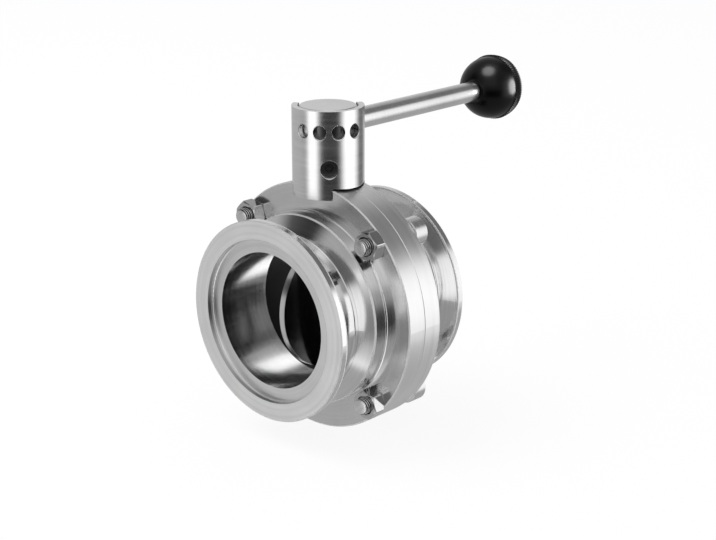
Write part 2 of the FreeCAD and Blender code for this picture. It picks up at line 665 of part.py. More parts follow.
def handle_rod():
    """Rod from the pin's collar to the knob, with a thread at its outer end."""
    body = new_body("handle_rod")
    bind(body, Placement__Base__z=INDEX_HEIGHT)
    turned(body, "profile", "XY_Plane", [
        ("0", f"(pin_stub_length + blind_end - {COLLAR_BACK})"),
        ("(pin_stub_dia / 2 + thread_gap)", f"(pin_stub_length + blind_end - {COLLAR_BACK})"),
        ("(pin_stub_dia / 2 + thread_gap)", f"-{COLLAR_BACK}"),
        ("rod_dia / 2", f"-{COLLAR_BACK}"),
        ("rod_dia / 2", "(rod_reach - rod_break)"),
        ("(rod_dia / 2 - rod_break)", "rod_reach"),
        ("rod_thread_dia / 2", "rod_reach"),
        ("rod_thread_dia / 2", "(rod_reach + rod_thread_length)"),
        ("0", "(rod_reach + rod_thread_length)"),
    ])
    return body


def tube_along_pipe(label, outer, inner, start, length):
    """A plain ring about the rod."""
    body = new_body(label)
    bind(body, Placement__Base__z=INDEX_HEIGHT)
    turned(body, "profile", "XY_Plane", [
        (inner, start),
        (outer, start),
        (outer, f"({start} + {length})"),
        (inner, f"({start} + {length})"),
    ])
    return body


def knob_insert():
    """Metal insert moulded into the knob."""
    body = new_body("knob_insert")
    bind(body, Placement__Base__z=INDEX_HEIGHT)
    thread = "(rod_thread_dia / 2 + thread_gap)"
    turned(body, "profile", "XY_Plane", [
        (thread, "rod_reach"),
        ("insert_dia / 2", "rod_reach"),
        ("insert_dia / 2", "(rod_reach + insert_length)"),
        ("0", "(rod_reach + insert_length)"),
        ("0", "(rod_reach + rod_thread_length + blind_end)"),
        (thread, "(rod_reach + rod_thread_length + blind_end)"),
    ])
    return body


def knob_sphere(name, radius):
    """A bare sphere about the knob's centre."""
    item = doc.addObject("Part::Sphere", name)
    item.Placement.Rotation = FreeCAD.Rotation(FreeCAD.Vector(1, 0, 0), -90)
    bind(item, Radius=radius, Placement__Base__y=f"{PORT_FACE} + {KNOB_CENTRE}",
         Placement__Base__z=INDEX_HEIGHT)
    return item


def ball_knob():
    """Ball knob with a raised grip band past its middle and a flat where the rod enters."""
    ball = knob_sphere("knob_ball", "knob_dia / 2")
    slab = along_the_rod("grip_slab", "knob_dia", "grip_width", f"({KNOB_CENTRE} + grip_start)")
    band = overlap_of("grip_band", [knob_sphere("grip_ball", "knob_dia / 2 + grip_rise"), slab])
    flat = along_the_rod("knob_flat", "knob_dia", "knob_dia", "(rod_reach - knob_dia)")
    bore = along_the_rod("knob_bore", "insert_dia / 2 + thread_gap", "insert_length + thread_gap",
                         "rod_reach")
    return take_away("ball_knob", join("knob_outside", [ball, band]), join("knob_cuts", [flat, bore]))


def index_spring():
    """Compression spring between the pin's collar and the gland."""
    wire = value("spring_wire")
    start = -value(COLLAR_BACK) + wire / 2 + value("thread_gap")
    stop = value(GLAND_START) - wire / 2 - value("thread_gap")
    radius = value(SPRING_RADIUS)
    turns = value("spring_turns")
    # One edge for each turn: a coil swept along a single long edge doesn't mesh to a closed skin
    helix = Part.makeLongHelix((stop - start) / turns, stop - start, radius, 0.0, False)
    section = Part.Wire(Part.makeCircle(wire / 2, FreeCAD.Vector(radius, 0, 0), FreeCAD.Vector(0, 1, 0)))
    coil = Part.Wire(helix).makePipeShell([section], True, True)
    spring = doc.addObject("Part::Feature", "index_spring")
    spring.Label = "index_spring"
    spring.Shape = coil
    spring.Placement = FreeCAD.Placement(
        FreeCAD.Vector(0, value(PORT_FACE) + start, value(INDEX_HEIGHT)),
        FreeCAD.Rotation(FreeCAD.Vector(1, 0, 0), -90))
    return spring


def body_bolt(number):
    """Round-headed body bolt with a hexagon socket, its head behind the rear flange."""
    body = new_body(f"body_bolt_{number}")
    end = f"(body_flange_width + {NUT_FACE} + bolt_end_length)"
    turned(body, "profile", "XZ_Plane", [
        ("0", f"-{end}"),
        ("(bolt_dia / 2 - bolt_end_break)", f"-{end}"),
        ("bolt_dia / 2", f"(bolt_end_break - {end})"),
        ("bolt_dia / 2", "0"),
        ("bolt_head_dia / 2", "0"),
        ("bolt_head_dia / 2", "(bolt_head_height - bolt_head_break)"),
        ("(bolt_head_dia / 2 - bolt_head_break)", "bolt_head_height"),
        ("0", "bolt_head_height"),
    ])
    corner = "(bolt_key_flats / sqrt(3))"
    socket = outline(body, "key", "XY_Plane", [
        (f"{corner} * cos({angle} deg)", f"{corner} * sin({angle} deg)") for angle in range(0, 360, 60)
    ])
    bind(socket, AttachmentOffset__Base__z="bolt_head_height")
    pocket = body.newObject("PartDesign::Pocket", f"{body.Label}_key_cut")
    pocket.Profile = socket
    bind(pocket, Length="bolt_key_depth")
    place_fastener(body, number, "body_flange_width")
    return body


def body_nut(number):
    """Hexagon nut on the front flange, bevelled both sides, with one flat towards the shoulder."""
    label = f"body_nut_{number}"
    blank = hexagon(f"{label}_blank", "nut_flats", "nut_height")
    wide = "nut_face_dia / 2 + nut_height / tan(nut_bevel * 1 deg)"
    bevels = []
    for face, radii in (("outer", (wide, "nut_face_dia / 2")), ("inner", ("nut_face_dia / 2", wide))):
        bevel = doc.addObject("Part::Cone", f"{label}_{face}_bevel")
        bind(bevel, Radius1=radii[0], Radius2=radii[1], Height="nut_height")
        bevels.append(bevel)
    bore = "bolt_dia / 2 + thread_gap"
    hole = doc.addObject("Part::Cylinder", f"{label}_thread")
    bind(hole, Radius=bore, Height="nut_height")
    tools = [hole]
    mouth = f"{bore} + nut_countersink"
    for face, radii, height in (("outer", (bore, mouth), "nut_height - nut_countersink"),
                                ("inner", (mouth, bore), "0")):
        sink = doc.addObject("Part::Cone", f"{label}_{face}_sink")
        bind(sink, Radius1=radii[0], Radius2=radii[1], Height="nut_countersink", Placement__Base__z=height)
        tools.append(sink)
    outside = overlap_of(f"{label}_bevelled", [blank] + bevels)
    nut = take_away(label, outside, join(f"{label}_hole", tools))
    place_fastener(nut, number, "-body_flange_width", facing_front=True)
    return nut


def place_fastener(item, number, along, facing_front=False):
    """Put a fastener at its place on the bolt circle, its own Z along the pipe."""
    angle = FIRST_BOLT_ANGLE + 360 / BOLT_COUNT * (number - 1)
    hexagon_flat = 30
    tilt = FreeCAD.Rotation(FreeCAD.Vector(1, 0, 0), 90 if facing_front else -90)
    spin = FreeCAD.Rotation(FreeCAD.Vector(0, 1, 0), hexagon_flat - angle)
    item.Placement.Rotation = spin.multiply(tilt)
    bind(item, Placement__Base__x=f"{BOLT_RADIUS} * cos({angle} deg)",
         Placement__Base__y=f"{PORT_FACE} + {along}",
         Placement__Base__z=f"{BOLT_RADIUS} * sin({angle} deg)")


pieces = [
    half_body("front_body", -1),
    half_body("rear_body", 1),
    seat_ring(),
    disc(),
    ring("upper_stem_bush", BUSH_RADIUS, STEM_HOLE, "bush_length", BUSH_START),
    ring("lower_stem_bush", BUSH_RADIUS, STEM_HOLE, "bush_length", f"-{BUSH_END}"),
    stem_seal("upper_stem_seal", f"{SEAL_START} + {SEAL_LAND} / 2"),
    stem_seal("lower_stem_seal", f"-({SEAL_START} + {SEAL_LAND} / 2)"),
    drilled_sleeve(sleeve_blank()),
    handle_hub(),
    hub_set_screw(),
    index_pin(),
    tube_along_pipe("spring_gland", GLAND_RADIUS, "(rod_dia / 2 + rod_gap)",
                    GLAND_START, "gland_length"),
    handle_rod(),
    knob_insert(),
    ball_knob(),
    index_spring(),
]
pieces += [body_bolt(number + 1) for number in range(BOLT_COUNT)]
pieces += [body_nut(number + 1) for number in range(BOLT_COUNT)]
doc.recompute()

failed = [item.Name for item in doc.Objects if {"Invalid", "Error"} & set(item.State)]
if failed:
    raise RuntimeError(f"These objects failed: {failed}")
for piece in pieces:
    if piece.Shape.isNull() or not piece.Shape.isValid():
        raise RuntimeError(f"{piece.Label} has no valid shape")

os.makedirs("parts", exist_ok=True)
for piece in pieces:
    piece.Shape.exportStep(f"parts/{piece.Label}.step")
    print(piece.Label, len(piece.Shape.Solids), round(piece.Shape.Volume, 1))
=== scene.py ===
# %% [markdown]
# # Dressing a vacuum butterfly valve
#
# The valve comes packed at its real size, as a fixed frame. This lesson gives each of its
# parts a finish, models the small details that the frame leaves plain, such as screw threads
# and the flutes of the knob, and stands a plain white studio round it. Before each step there
# is a short text like this one. The code cells can be run in order.

import json
import math

import bmesh
import bpy
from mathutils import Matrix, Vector


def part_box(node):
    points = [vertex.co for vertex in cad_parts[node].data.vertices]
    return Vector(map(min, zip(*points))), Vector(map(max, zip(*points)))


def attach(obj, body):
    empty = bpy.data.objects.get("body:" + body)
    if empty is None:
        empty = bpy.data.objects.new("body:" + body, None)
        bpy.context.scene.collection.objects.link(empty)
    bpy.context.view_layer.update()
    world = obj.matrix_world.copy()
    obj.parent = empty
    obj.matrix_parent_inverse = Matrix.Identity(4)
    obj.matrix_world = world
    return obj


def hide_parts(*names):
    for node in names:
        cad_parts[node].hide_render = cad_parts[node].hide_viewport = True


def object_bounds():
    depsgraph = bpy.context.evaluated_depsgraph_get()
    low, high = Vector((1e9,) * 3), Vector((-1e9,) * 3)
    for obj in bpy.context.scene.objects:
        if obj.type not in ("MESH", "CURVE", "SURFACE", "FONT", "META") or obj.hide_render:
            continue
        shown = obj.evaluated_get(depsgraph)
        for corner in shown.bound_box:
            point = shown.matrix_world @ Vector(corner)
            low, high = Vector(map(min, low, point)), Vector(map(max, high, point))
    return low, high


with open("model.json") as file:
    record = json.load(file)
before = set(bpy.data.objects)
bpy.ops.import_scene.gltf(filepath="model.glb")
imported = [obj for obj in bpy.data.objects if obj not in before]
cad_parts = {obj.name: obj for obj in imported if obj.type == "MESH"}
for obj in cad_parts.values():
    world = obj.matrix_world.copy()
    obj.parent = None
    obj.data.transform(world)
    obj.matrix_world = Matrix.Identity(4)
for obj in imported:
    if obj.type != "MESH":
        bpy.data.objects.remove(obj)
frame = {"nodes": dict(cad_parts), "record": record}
cad_box = [list(corner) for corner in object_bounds()]

# %% [markdown]
# ## Places read from the frame
#
# Every length here is in metres. The main places are read from the packed parts, so that a
# new detail sits where the frame says. The pipe runs along Y, the stem stands along Z in the
# middle of the pipe, and the handle's rod runs along Y above it, level with the index holes.

# %% Main places
MM = 0.001


def middle(node):
    """The middle of a node's box."""
    low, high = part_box(node)
    return (low + high) / 2


HALF_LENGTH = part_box("rear_body")[1].y / 2
STEM = Vector((0, HALF_LENGTH, 0))
ROD_HEIGHT = middle("handle_rod").z
print("half the pipe run:", round(HALF_LENGTH, 5), "height of the rod:", round(ROD_HEIGHT, 5))

# %% [markdown]
# ## Writing node trees as sums
#
# A finish in Blender is a graph of nodes. Drawn by hand it is a web of boxes. In Python it
# can be as short as a formula, if one small class stands for an output of a node and turns
# each plus or minus into a Math node. The same class then serves materials, the world and
# Geometry Nodes, because all of them are node trees.

# %% Outputs that can be added up
class Socket:
    """An output of a node. A sum on it becomes a Math node in its tree."""

    def __init__(self, graph, link):
        self.graph = graph
        self.link = link

    def out(self, name):
        """Another output of the same node."""
        return Socket(self.graph, self.link.node.outputs[name])

    def math(self, operation, *others):
        """A Math node on this output and up to two more values."""
        return self.graph.calculate(operation, self, *others)

    def __add__(self, other):
        return self.graph.calculate("ADD", self, other)

    def __sub__(self, other):
        return self.graph.calculate("SUBTRACT", self, other)

    def __rsub__(self, other):
        return self.graph.calculate("SUBTRACT", other, self)

    def __mul__(self, other):
        return self.graph.calculate("MULTIPLY", self, other)

    def __truediv__(self, other):
        return self.graph.calculate("DIVIDE", self, other)

    def __rtruediv__(self, other):
        return self.graph.calculate("DIVIDE", other, self)

    def __pow__(self, other):
        return self.graph.calculate("POWER", self, other)

    def __rpow__(self, other):
        return self.graph.calculate("POWER", other, self)

    __radd__ = __add__
    __rmul__ = __mul__


print("sums that may start with a number:", [name for name in vars(Socket) if name.startswith("__r")])

# %% [markdown]
# The tree itself needs one method that adds any node. Settings, such as a Math node's
# operation, go in before the values, because they decide which sockets the node shows. Sums
# of numbers, sums of vectors and a soft rise from 0 to 1 come up in every kind of tree, so
# each gets a method of its own.

# %% Trees that are being written
class Graph:
    """A node tree that is being written."""

    def __init__(self, tree):
        self.tree = tree

    def add(self, kind, settings=None, values=None, output=0):
        """Add a node: its settings first, then the values or links of its sockets."""
        node = self.tree.nodes.new(kind)
        for name, setting in (settings or {}).items():
            setattr(node, name, setting)
        for name, value in (values or {}).items():
            self.feed(node.inputs[name], value)
        return Socket(self, node.outputs[output]) if len(node.outputs) else None

    def feed(self, socket, value):
        """Link a socket, or set it."""
        if isinstance(value, Socket):
            self.tree.links.new(value.link, socket)
        else:
            socket.default_value = value

    def calculate(self, operation, *values):
        """A Math node."""
        return self.add("ShaderNodeMath", {"operation": operation}, dict(enumerate(values)))

    def vector(self, operation, *values, output="Vector"):
        """A Vector Math node."""
        return self.add("ShaderNodeVectorMath", {"operation": operation},
                        dict(enumerate(values)), output)

    def rise(self, value, low, high, kind="SMOOTHSTEP"):
        """0 below low, 1 above high, and a soft or straight rise between them."""
        return self.add("ShaderNodeMapRange", {"interpolation_type": kind},
                        {"Value": value, "From Min": low, "From Max": high})


print("every tree can use:", [name for name in vars(Graph) if not name.startswith("_")])

# %% [markdown]
# ## A finish and its shader
#
# A finish is such a tree with one shader at its end. A point is read in Object coordinates:
# every part keeps its place in its mesh, so the same numbers mean the same place on all of
# them. Most changes over a surface are masks, 1 on one zone of the part and 0 elsewhere, and
# a mask is a rise in some distance.

# %% Finishes
class Finish(Graph):
    """A material's tree, with one shader."""

    def __init__(self, name):
        self.material = bpy.data.materials.new(name)
        self.material.use_nodes = True
        self.material.node_tree.nodes.clear()
        super().__init__(self.material.node_tree)
        self.shader = self.add("ShaderNodeBsdfPrincipled")
        self.add("ShaderNodeOutputMaterial", values={"Surface": self.shader})

    def set(self, **values):
        """Give the shader its values. An underscore in a name stands for a space."""
        for name, value in values.items():
            self.feed(self.shader.link.node.inputs[name.replace("_", " ")], value)

    def point(self):
        """Where a point of the part lies."""
        return self.add("ShaderNodeTexCoord").out("Object")

    def noise(self, place, scale, detail=3.0):
        """Soft noise from 0 to 1, with about as many lumps in a metre as the scale says."""
        return self.add("ShaderNodeTexNoise", values={
            "Vector": place, "Scale": scale, "Detail": detail})

    def bump(self, height, depth):
        """A normal that makes the surface look as deep as this, in metres."""
        return self.add("ShaderNodeBump", values={
            "Strength": 1.0, "Distance": depth, "Height": height})

    def beyond(self, value, size, start, full):
        """0 up to start past a size, and 1 from full past it. A minus means before it."""
        return self.rise(value, size + start, size + full)

    def near(self, value, place, reach, fade=1.4):
        """1 where a value is within reach of a place, and 0 from fade times that reach."""
        return 1 - self.rise((value - place).math("ABSOLUTE"), reach, fade * reach)

    def mix(self, factor, first, second):
        """A colour between two others."""
        return self.add("ShaderNodeMix", {"data_type": "RGBA"},
                        {0: factor, 6: first, 7: second}, output=2)


print("a finish can also use:", [name for name in vars(Finish) if not name.startswith("_")])

# %% [markdown]
# ## Turned steel
#
# Almost every steel surface here came off a lathe. The tool leaves fine rings round the axis
# that the work turned on: a ring is the same all the way round, and changes quickly along
# the surface. So the pattern is noise, read at a point's distance from the axis and its place
# along it. A number that changes slowly round the axis is mixed in, because real rings fade
# and break up.

# %% Lathe rings
AXES = {
    "pipe": (STEM, "Y"),
    "disc": (STEM, "X"),
    "stem": (STEM, "Z"),
    "rod": (Vector((0, HALF_LENGTH, ROD_HEIGHT)), "Y"),
}
RINGS_PER_METRE = 800
RING_FADE = 0.7


def around(finish, axis):
    """Distance from an axis, place along it, and a number that changes slowly round it."""
    start, letter = AXES[axis]
    offset = finish.vector("SUBTRACT", finish.point(), start)
    across = finish.vector("MULTIPLY", offset, [float(name != letter) for name in "XYZ"])
    radius = finish.vector("LENGTH", across, output="Value")
    parts = finish.add("ShaderNodeSeparateXYZ", values={"Vector": offset})
    side = parts.out("Y" if letter == "X" else "X")
    return radius, parts.out(letter), side / radius


def lathe_rings(finish, radius, along, slow):
    """Noise that makes rings round an axis."""
    place = finish.add("ShaderNodeCombineXYZ", values={
        "X": radius * RINGS_PER_METRE, "Y": along * RINGS_PER_METRE, "Z": slow * RING_FADE})
    return finish.noise(place, 1.0)


print("lathe axes:", list(AXES), "widest ring in mm:", 1 / RINGS_PER_METRE / MM)

# %% [markdown]
# Most rings are too fine for a picture of this size, so they do their work by spreading the
# reflections, and a shallow bump is enough. Handling adds soft duller patches, which are
# plain noise at a larger scale.
#
# A lathe finish is seldom the same all over one part. A face that seals is left satin, a bore
# is polished, and an edge is broken, left rougher, and painted lighter as a highlight. So the recipe
# takes zones: each is a mask with the shade and the dullness that the steel has inside it.

# %% Steel with zones
RING_DEPTH = 0.4e-6
PATCHES_PER_METRE = 60
# How widely patches and rings spread the dullness
PATCH_SPREAD = 0.05
RING_SPREAD = 0.12
# The share of the shade that brush marks take away, and the noise where they are full and gone
MARK_SHADE = 0.1
MARK_FULL = 0.38
MARK_GONE = 0.62


def turned_steel(name, axis, shade, dullness, zones=None, ring_depth=RING_DEPTH):
    """Stainless steel with lathe rings about an axis, and other finishes in its zones."""
    finish = Finish(name)
    radius, along, slow = around(finish, axis)
    rings = lathe_rings(finish, radius, along, slow)
    patches = finish.noise(finish.point(), PATCHES_PER_METRE)
    for mask, zone_shade, zone_dullness in (zones(finish, radius, along) if zones else ()):
        shade = shade + mask * (zone_shade - shade)
        dullness = dullness + mask * (zone_dullness - dullness)
    unmarked = finish.rise(0.5 * patches + 0.5 * rings, MARK_FULL, MARK_GONE, "LINEAR")
    dullness = dullness + PATCH_SPREAD * (patches - 0.5) + RING_SPREAD * (rings - 0.5)
    finish.set(Metallic=1.0, Base_Color=shade * (1 - MARK_SHADE + MARK_SHADE * unmarked),
               Roughness=dullness, Normal=finish.bump(rings, ring_depth))
    return finish.material


print("recipe ready:", turned_steel.__doc__)

# %% [markdown]
# ## The body
#
# Both halves of the body are turned from bar and mirror each other, so their zones can be
# told from the distance to the middle of the valve and from the pipe's axis. First come the
# sizes that tell one surface from the next.

# %% Body sizes
FLANGE_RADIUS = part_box("front_body")[1].x
FLANGE_FACE = HALF_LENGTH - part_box("body_nut_1")[1].y
CLAMP_RADIUS = 37.5 * MM
CLAMP_RIM = 3.0 * MM
RECESS_RADIUS = 30.5 * MM
RECESS_DEPTH = 2.4 * MM
BORE_RADIUS = 25.4 * MM
SHOULDER_RADIUS = 36.1 * MM
SHOULDER_WIDTH = 5.7 * MM
print("flanges: radius", round(FLANGE_RADIUS, 5), "face", round(FLANGE_FACE, 5), "from the middle")

# %% [markdown]
# The rims of the bolted flanges, the shoulder beside them and the port faces are satin. The
# bore was polished along the pipe, which leaves faint streaks that way, so its noise is drawn
# out along Y. The outer edges are rougher and painted lighter, as a highlight line along each. The
# wall of the port's recess is painted dark, as the shade and dark reflection in it, which shows as a
# thin dark line, and its foot is satin like the floor.

# %% Body finish
FACE_REACH = 0.1 * MM
WALL_REACH = 0.05 * MM
FOOT_REACH = 0.8 * MM
EDGE_REACH = 0.42 * MM
STREAKS_PER_METRE = 450.0
STREAK_STRETCH = 0.05


def round_edges(finish, radius, along, edges):
    """A mask that is 1 close to any of these round edges, given as (radius, along)."""
    masks = []
    for edge_radius, edge_along in edges:
        across = radius - edge_radius
        off = along - edge_along
        masks.append(finish.near((across * across + off * off).math("SQRT"), 0, EDGE_REACH))
    return sum(masks)


def body_zones(finish, radius, along):
    """Satin rims and faces, a polished bore, a recess wall painted dark as shade, and edges painted
    light as highlights.
    """
    out = along.math("ABSOLUTE")
    in_recess = 1 - finish.beyond(radius, RECESS_RADIUS, 0.05 * MM, 0.1 * MM)
    drawn_out = finish.vector("MULTIPLY", finish.point(), (1.0, STREAK_STRETCH, 1.0))
    streaks = finish.noise(drawn_out, STREAKS_PER_METRE, detail=1.0)
    rims = finish.beyond(radius, FLANGE_RADIUS, -0.5 * MM, -0.4 * MM)
    recess_floor = finish.near(out, HALF_LENGTH - RECESS_DEPTH, FOOT_REACH) * in_recess
    bore = 1 - finish.beyond(radius, BORE_RADIUS, 0.02 * MM, 0.06 * MM)
    edges = round_edges(finish, radius, out, [
        (CLAMP_RADIUS, HALF_LENGTH),
        (CLAMP_RADIUS, HALF_LENGTH - CLAMP_RIM),
        (FLANGE_RADIUS, FLANGE_FACE),
        (SHOULDER_RADIUS, FLANGE_FACE + SHOULDER_WIDTH),
    ])
    # Mask, shade and dullness, where a later zone lies over the earlier ones
    return [
        (rims, 0.93, 0.33),
        (finish.near(out, FLANGE_FACE, FACE_REACH), 0.78, 0.17),
        (finish.near(radius, SHOULDER_RADIUS, FACE_REACH), 0.9, 0.2),
        (finish.near(out, HALF_LENGTH, FACE_REACH), 1.0, 0.38),
        # The recess wall gets a dark shade: painted shade and dark reflection
        (finish.near(radius, RECESS_RADIUS, WALL_REACH), 0.5, 0.1),
        (recess_floor, 0.9, 0.34),
        (bore, 0.85 + 0.15 * streaks, 0.12 + 0.12 * streaks),
        # The edges get a lighter shade, a painted highlight, and a higher dullness
        (edges, 1.0, 0.65),
    ]


finishes = {"body_steel": turned_steel("body_steel", "pipe", 0.82, 0.12, body_zones)}
print("body finish:", len(finishes["body_steel"].node_tree.nodes), "nodes")

# %% [markdown]
# ## The disc
#
# The disc is ground and polished until it mirrors the dark inside of the pipe, and that dark
# reflection is painted into its faces as a dark shade. Only its rim, which wipes the rubber seat at
# each turn of the handle, stays bright.

# %% Disc finish
DISC_RADIUS = 25.1 * MM


def disc_zones(finish, radius, along):
    """Polished faces, painted dark as the reflection of the dark pipe."""
    # The faces' dark shade is a painted reflection of the dark inside of the pipe
    faces = 1 - finish.beyond(radius, DISC_RADIUS, -0.3 * MM, -0.1 * MM)
    return [(faces, 0.2, 0.16)]


finishes["disc_steel"] = turned_steel("disc_steel", "disc", 0.85, 0.24, disc_zones)
print("disc finish:", len(finishes["disc_steel"].node_tree.nodes), "nodes")

# %% [markdown]
# ## The sleeve and the hub inside it
#
# The sleeve is brushed, and each of its edges was broken after the holes were drilled, which
# leaves a rougher ring round every hole, painted lighter as a highlight. All those edges lie just
# under the outside of the sleeve, so one distance finds them. Where the sleeve sits over the flanges
# there is a narrow gap, and its shade is painted on the sleeve as a dark seam.
#
# The hub's flat top is bright like the sleeve, but its side turns inside the sleeve, in shade,
# and that shade is painted into its colour as a dark side. The dark starts partway down the chamfer
# of the top.

# %% Sleeve and hub finishes
SLEEVE_RADIUS = (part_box("index_sleeve")[1].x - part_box("index_sleeve")[0].x) / 2
HUB_RADIUS = (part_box("handle_hub")[1].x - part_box("handle_hub")[0].x) / 2
HUB_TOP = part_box("handle_hub")[1].z
HUB_CHAMFER = 0.9 * MM
PAINTED_SEAM_WIDTH = 0.7 * MM


def sleeve_zones(finish, radius, along):
    """Broken edges just under the outside painted light as highlights, and painted shade as a dark
    seam above the flanges.
    """
    # The broken edges get a lighter shade: painted highlight rings
    under = finish.beyond(radius, SLEEVE_RADIUS, -0.4 * MM, -0.36 * MM)
    outside = finish.beyond(radius, SLEEVE_RADIUS, -0.05 * MM, -0.02 * MM)
    from_pipe, along_pipe, _ = around(finish, "pipe")
    seam_shade_over_flanges = 1 - finish.beyond(along_pipe.math("ABSOLUTE"), FLANGE_FACE, -0.1 * MM, 0)
    # Close above the flanges the sleeve is painted near black: painted shade for the gap beneath it
    low = 1 - finish.beyond(from_pipe, FLANGE_RADIUS, PAINTED_SEAM_WIDTH, 1.3 * PAINTED_SEAM_WIDTH)
    return [(under - outside, 0.95, 0.45), (low * seam_shade_over_flanges, 0.02, 0.6)]


def hub_zones(finish, radius, along):
    """Painted shade on the side below the bright top."""
    # The side is painted dark: painted shade, for where it turns inside the sleeve
    side = finish.beyond(radius, HUB_RADIUS, -0.6 * MM, -0.5 * MM)
    below = 1 - finish.beyond(along, HUB_TOP, -0.4 * HUB_CHAMFER, -0.3 * HUB_CHAMFER)
    return [(side * below, 0.13, 0.25)]


finishes["sleeve_steel"] = turned_steel("sleeve_steel", "stem", 0.8, 0.23, sleeve_zones,
                                        ring_depth=0.5e-6)
finishes["hub_steel"] = turned_steel("hub_steel", "stem", 0.82, 0.28, hub_zones)
print("sleeve and hub radius:", round(SLEEVE_RADIUS, 5), round(HUB_RADIUS, 5))

# %% [markdown]
# ## Small steel parts
#
# The rod, the pin and the spring are drawn or ground bar. The set screw and the knob's insert
# are blackened, as bought ones often are. The bolts have a rolled thread whose crests are
# bright, and whose roots are painted dark as shade. The four bolts lie on the corners of a square
# round the pipe, so a point's distance from the nearest one needs only the sizes of its x and z.

# %% Small steel finishes
BOLT_PLACE = abs(middle("body_bolt_1").x)
BOLT_RADIUS = 3.0 * MM
BOLT_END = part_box("body_bolt_1")[0].y


def thread_zones(finish, radius, along):
    """Painted shade in the thread roots, but not on the bolts' end faces."""
    parts = finish.add("ShaderNodeSeparateXYZ", values={"Vector": finish.point()})
    across = parts.out("X").math("ABSOLUTE") - BOLT_PLACE
    up = parts.out("Z").math("ABSOLUTE") - BOLT_PLACE
    off = (across * across + up * up).math("SQRT")
    # The thread roots are painted near black, as the shade in the grooves
    painted_root_shade = 1 - finish.beyond(off, BOLT_RADIUS, -0.25 * MM, -0.05 * MM)
    past_the_end = finish.beyond(parts.out("Y"), BOLT_END, 0.1 * MM, 0.2 * MM)
    return [(painted_root_shade * past_the_end, 0.03, 0.6)]


finishes.update({
    "screw_steel": turned_steel("screw_steel", "stem", 0.12, 0.35),
    "pin_steel": turned_steel("pin_steel", "rod", 1.0, 0.55),
    "spring_steel": turned_steel("spring_steel", "rod", 0.55, 0.25),
    "rod_steel": turned_steel("rod_steel", "rod", 0.78, 0.24, ring_depth=0.6e-6),
    "insert_steel": turned_steel("insert_steel", "rod", 0.05, 0.3),
    "bolt_steel": turned_steel("bolt_steel", "pipe", 0.8, 0.28, thread_zones),
    "nut_steel": turned_steel("nut_steel", "pipe", 0.66, 0.1),
})
print("bolts at", round(BOLT_PLACE, 5), "from the pipe's axis, both ways")

# %% [markdown]
# ## Rubber, plastic and the knob
#
# Moulded rubber is almost black and scatters light softly, with a faint unevenness in its
# skin. The knob is a hard, glossy plastic: nearly black too, but smooth enough to mirror the
# lamps, with only a slight orange peel. The stem bushes are a waxy white plastic. One recipe
# serves them all: a fine skin for the bump, and wide clouds that darken the colour here and
# there and change the gloss a little.

# %% Moulded finishes
CLOUDS_PER_METRE = 90.0
CLOUD_SPREAD = 0.06


def moulded(name, colour, dullness, skin_scale, skin_depth, mottle=0.2):
    """Moulded rubber or plastic with a fine skin."""
    finish = Finish(name)
    skin = finish.noise(finish.point(), skin_scale, detail=4.0)
    cloud = finish.noise(finish.point(), CLOUDS_PER_METRE)
    darker = [level * (1 - mottle) for level in colour]
    finish.set(Base_Color=finish.mix(cloud, (*darker, 1), (*colour, 1)),
               Roughness=dullness + CLOUD_SPREAD * (cloud - 0.5),
               Normal=finish.bump(skin, skin_depth))
    return finish


knob_plastic = moulded("knob_plastic", (0.0006, 0.0006, 0.0006), 0.25, 700, 0.5e-6)
knob_plastic.set(IOR=1.3)
moulded_finishes = {
    "seat_rubber": moulded("seat_rubber", (0.002, 0.002, 0.002), 0.6, 4000, 2e-6),
    "seal_rubber": moulded("seal_rubber", (0.01, 0.01, 0.01), 0.5, 4000, 2e-6),
    "bush_plastic": moulded("bush_plastic", (0.82, 0.81, 0.77), 0.5, 3000, 1e-6, mottle=0.04),
    "knob_plastic": knob_plastic,
}
finishes.update({name: finish.material for name, finish in moulded_finishes.items()})
print("moulded finishes:", list(moulded_finishes))

# %% [markdown]
# ## One finish for each part
#
# The frame's record gives every part a material slot. A part keeps its packed mesh, and only
# its material is swapped for the finish of that slot.

# %% Finishes by material slot
slot_of = {part["node"]: part["material_slot"] for part in frame["record"]["subparts"]}
for name, item in frame["nodes"].items():
    for place in item.material_slots:
        place.material = finishes[slot_of[name]]
print("finishes:", sorted(finishes))

# %% [markdown]
# ## Turned shapes
#
# A lathe part is a profile carried round an axis. This helper builds one as a mesh about the
# Y axis, with its seam closed. Where a place on the profile is also given a width across
# flats, the mesh stays inside a hexagon there. A cone cut by a hexagon has the curved bevels
# of a real nut, and a small hexagon makes the key socket of a screw.

# %% A profile carried round
def hexagon_radius(flats, angle):
    """Distance from the middle of a hexagon to its edge, with a flat at angle 0."""
    return flats / 2 / math.cos((angle + math.pi / 6) % (math.pi / 3) - math.pi / 6)


def ring_of_points(work, radius, along, flats, columns):
    """One row of a turned mesh: a single point on the axis, or a ring round it."""
    if radius == 0:
        return [work.verts.new((0, along, 0))] * columns
    row = []
    for column in range(columns):
        angle = 2 * math.pi * column / columns
        reach = min(radius, hexagon_radius(flats, angle)) if flats else radius
        row.append(work.verts.new((reach * math.cos(angle), along, reach * math.sin(angle))))
    return row


def turned_mesh(name, profile, columns):
    """A mesh about the Y axis through places given as (radius, along, flats or None).

    A profile that ends where it starts makes a ring.
    """
    work = bmesh.new()
    rows = []
    for spot in profile:
        closes = rows and spot == profile[0]
        rows.append(rows[0] if closes else ring_of_points(work, *spot, columns))
    for first, second in zip(rows, rows[1:]):
        for column in range(columns):
            after = (column + 1) % columns
            corners = [first[column], first[after], second[after], second[column]]
            work.faces.new(list(dict.fromkeys(corners)))
    mesh = bpy.data.meshes.new(name)
    work.to_mesh(mesh)
    work.free()
    return mesh


